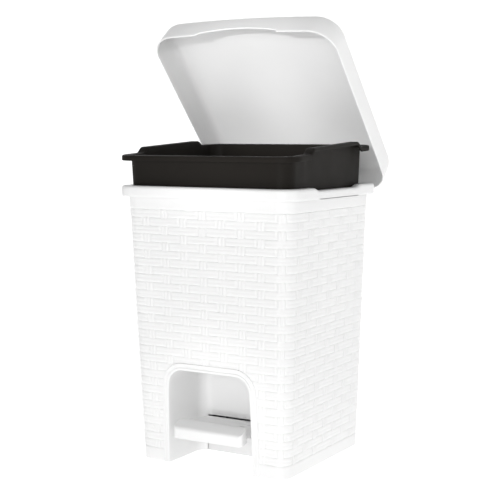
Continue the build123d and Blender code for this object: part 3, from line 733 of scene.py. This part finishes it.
def on_flange(above, lip=False):
    """Height function of a loop that follows the flange; the lip is shorter at the grips."""
    def height(y, on_side):
        low, grip = flange_height(y, on_side)
        short = np.where(on_side, grip * (FLANGE_LIP - GRIP_LIP), 0) if lip else 0
        return low + above + short
    return height


def up_wall(share):
    """Height function of a loop between the foot (0) and the flange (1)."""
    foot = BUCKET_BOTTOM + 6
    return lambda y, on_side: foot + share * (flange_height(y, on_side)[0] + 2.4 - BUCKET_BOTTOM - 6)


def bucket_outside():
    """(section, height function) of each loop from the middle of the underside to the flange."""
    radius = BUCKET_FOOT_RADIUS
    loops = []
    for share in (0.05, 0.4, 0.8):
        section = inset(bucket_wall_section(BUCKET_BOTTOM, radius), 70 * (1 - share))
        loops.append((section, level(BUCKET_BOTTOM)))
    for k in range(7):
        turn = k * pi / 12
        section = bucket_wall_section(BUCKET_BOTTOM, radius * (1 - sin(turn)))
        loops.append((section, level(BUCKET_BOTTOM + radius * (1 - cos(turn)))))
    for share in np.linspace(0.05, 1.0, 14):
        z = BUCKET_BOTTOM + share * (FLANGE_FRONT_Z - BUCKET_BOTTOM)
        loops.append((bucket_wall_section(z), up_wall(share)))
    return loops


def bucket_flange():
    """Loops of the flange: under it, round its lip, and over its top to the bucket's mouth."""
    under = FLANGE_LIP - FLANGE_SKIN
    top = FLANGE_FRONT_Z
    channel = inset(FLANGE, FLANGE_SKIN)
    return [
        (bucket_wall_section(top, -0.4), on_flange(under - 0.5)),
        (bucket_wall_section(top, -1.4), on_flange(under)),
        (inset(channel, 0.8), on_flange(under)),
        (channel, on_flange(under - 0.6)),
        (channel, on_flange(0.5, lip=True)),
        (inset(FLANGE, FLANGE_SKIN - 0.5), on_flange(0, lip=True)),
        (inset(FLANGE, 0.5), on_flange(0, lip=True)),
        (FLANGE, on_flange(0.6, lip=True)),
        (FLANGE, on_flange(FLANGE_LIP - 1.6)),
        (inset(FLANGE, 0.45), on_flange(FLANGE_LIP - 0.5)),
        (inset(FLANGE, 1.5), on_flange(FLANGE_LIP)),
        (bucket_wall_section(top, BUCKET_WALL - 1.4), on_flange(FLANGE_LIP)),
        (bucket_wall_section(top, BUCKET_WALL - 0.4), on_flange(FLANGE_LIP - 0.5)),
        (bucket_wall_section(top, BUCKET_WALL), on_flange(FLANGE_LIP - 1.6)),
    ]


def bucket_inside():
    """Loops down the inside of the wall and on to the floor."""
    radius = BUCKET_FLOOR_RADIUS
    loops = []
    for share in np.linspace(0.98, 0.06, 12):
        z = BUCKET_BOTTOM + share * (FLANGE_FRONT_Z - BUCKET_BOTTOM)
        loops.append((bucket_wall_section(z, BUCKET_WALL), up_wall(share)))
    for k in range(7):
        turn = k * pi / 12
        section = bucket_wall_section(BUCKET_BOTTOM, BUCKET_WALL + radius * (1 - cos(turn)))
        loops.append((section, level(BUCKET_BOTTOM + BUCKET_FLOOR + radius - radius * sin(turn))))
    middle = inset(bucket_wall_section(BUCKET_BOTTOM, BUCKET_WALL + radius), 60)
    loops.append((middle, level(BUCKET_BOTTOM + BUCKET_FLOOR)))
    return loops


def bucket():
    """Tapered bucket with a lipped flange."""
    ring = bucket_ring()
    on_side = np.abs(ring["normal"][:, 0]) > 0.99
    loops = []
    for section, height in bucket_outside() + bucket_flange() + bucket_inside():
        x, y = place(ring, section)
        loops.append(np.stack(np.broadcast_arrays(x, y, height(y, on_side)), 1))
    count = len(loops[0])
    points = np.concatenate(loops)
    faces = grid_faces(len(loops), count)
    faces.append(list(range(count))[::-1])
    faces.append(list(range(len(points) - count, len(points))))
    return add_mesh("bucket_shell", points, faces, sharp=40)


# ---- pedal -------------------------------------------------------------------------------------
def remade(node, name, bevel):
    """A copy of a CAD node's mesh with softened edges."""
    mesh = frame["nodes"][node].data.copy()
    form = bmesh.new()
    form.from_mesh(mesh)
    bmesh.ops.remove_doubles(form, verts=form.verts[:], dist=1e-6)
    bmesh.ops.dissolve_limit(form, angle_limit=radians(0.5), verts=form.verts[:], edges=form.edges[:])
    form.to_mesh(mesh)
    form.free()
    thing = bpy.data.objects.new(name, mesh)
    bpy.context.scene.collection.objects.link(thing)
    mesh.polygons.foreach_set("use_smooth", [True] * len(mesh.polygons))
    mesh.set_sharp_from_angle(angle=radians(35))
    return settle(thing, bevel)


# ---- assembly ----------------------------------------------------------------------------------
for shell in (outer_body(), foot_recess(), hinge_ears()):
    finish_piece(shell, "housing", "weave_plastic", "outer_body")
finish_piece(lid(), "lid", "lid_plastic", "lid")
finish_piece(bucket(), "bucket", "bucket_plastic", "inner_bucket")
finish_piece(remade("pedal_lever", "pedal_tread", 0.5), "lever", "pedal_plastic", "pedal_lever")

slots = {part["node"]: part["material_slot"] for part in frame["record"]["subparts"]}
for node, thing in frame["nodes"].items():
    thing.data.materials.clear()
    thing.data.materials.append(MATERIALS[slots[node]])


# ---- studio ------------------------------------------------------------------------------------
def floor():
    """Pale, faintly lit sweep that curves up behind the bin."""
    profile = [(-3.0, 0.0), (2.2, 0.0)]
    profile += [(2.2 + 1.2 * sin(k * pi / 24), 1.2 * (1 - cos(k * pi / 24))) for k in range(1, 13)]
    profile.append((3.4, 4.5))
    points = [(x, y, z) for y, z in profile for x in (-5.0, 5.0)]
    faces = [(2 * k, 2 * k + 1, 2 * k + 3, 2 * k + 2) for k in range(len(profile) - 1)]
    sweep = add_mesh("floor", np.array(points) / MM, faces, sharp=60)
    material, nodes, links, shader = new_material("studio_floor")
    shader.inputs["Roughness"].default_value = 0.9
    shader.inputs["Emission Color"].default_value = (1, 1, 1, 1)
    shader.inputs["Emission Strength"].default_value = 0.6
    speck = nodes.new("ShaderNodeTexNoise")
    speck.inputs["Scale"].default_value = 3
    tint = nodes.new("ShaderNodeValToRGB")
    tint.color_ramp.elements[0].color = (0.955, 0.955, 0.955, 1)
    tint.color_ramp.elements[1].color = (0.965, 0.965, 0.965, 1)
    links.new(speck.outputs["Fac"], tint.inputs["Fac"])
    links.new(tint.outputs["Color"], shader.inputs["Base Color"])
    sweep.data.materials.append(material)


def add_light(name, light, place_at, aim):
    """Put a light at a place, in metres, and point it."""
    thing = bpy.data.objects.new(name, light)
    thing.location = place_at
    thing.rotation_euler = (Vector(aim) - Vector(place_at)).to_track_quat("-Z", "Y").to_euler()
    bpy.context.scene.collection.objects.link(thing)


def area_light(name, place_at, aim, size, power):
    """Soft square light."""
    light = bpy.data.lights.new(name, "AREA")
    light.shape = "SQUARE"
    light.size = size
    light.energy = power
    add_light(name, light, place_at, aim)


def beam(name, place_at, aim, width, power):
    """Narrow soft beam from the front; width is its spread in degrees."""
    light = bpy.data.lights.new(name, "SPOT")
    light.energy = power
    light.spot_size = radians(width)
    light.spot_blend = 0.7
    light.shadow_soft_size = 0.08
    add_light(name, light, place_at, aim)


def studio():
    """Bright even surroundings, two soft lights and two beams that fill the hollows."""
    world = bpy.data.worlds.new("studio")
    world.use_nodes = True
    world.node_tree.nodes["Background"].inputs["Color"].default_value = (1, 1, 1, 1)
    world.node_tree.nodes["Background"].inputs["Strength"].default_value = 0.40
    bpy.context.scene.world = world
    area_light("key", (0.5, -3.0, 0.45), (0, 0, 0.15), 1.6, 31)
    area_light("side", (2.8, -0.8, 1.0), (0, 0, 0.2), 1.8, 9)
    beam("inside_the_lid", (0.25, -2.4, 0.62), (0, 0.07, 0.408), 5.4, 190)
    beam("inside_the_recess", (0.60, -2.5, 0.14), (0.0, -0.03, 0.065), 2.4, 118)
    bpy.context.scene.view_settings.view_transform = "Standard"


def camera():
    """Long lens from the front right, a little above the rim."""
    data = bpy.data.cameras.new("camera")
    data.sensor_width = 36
    data.lens = 84.96
    data.clip_end = 50
    thing = bpy.data.objects.new("camera", data)
    thing.location = (0.692, -1.184, 0.375)
    thing.rotation_euler = (radians(84.32), 0, radians(30.44))
    bpy.context.scene.collection.objects.link(thing)
    bpy.context.scene.camera = thing


floor()
studio()
camera()
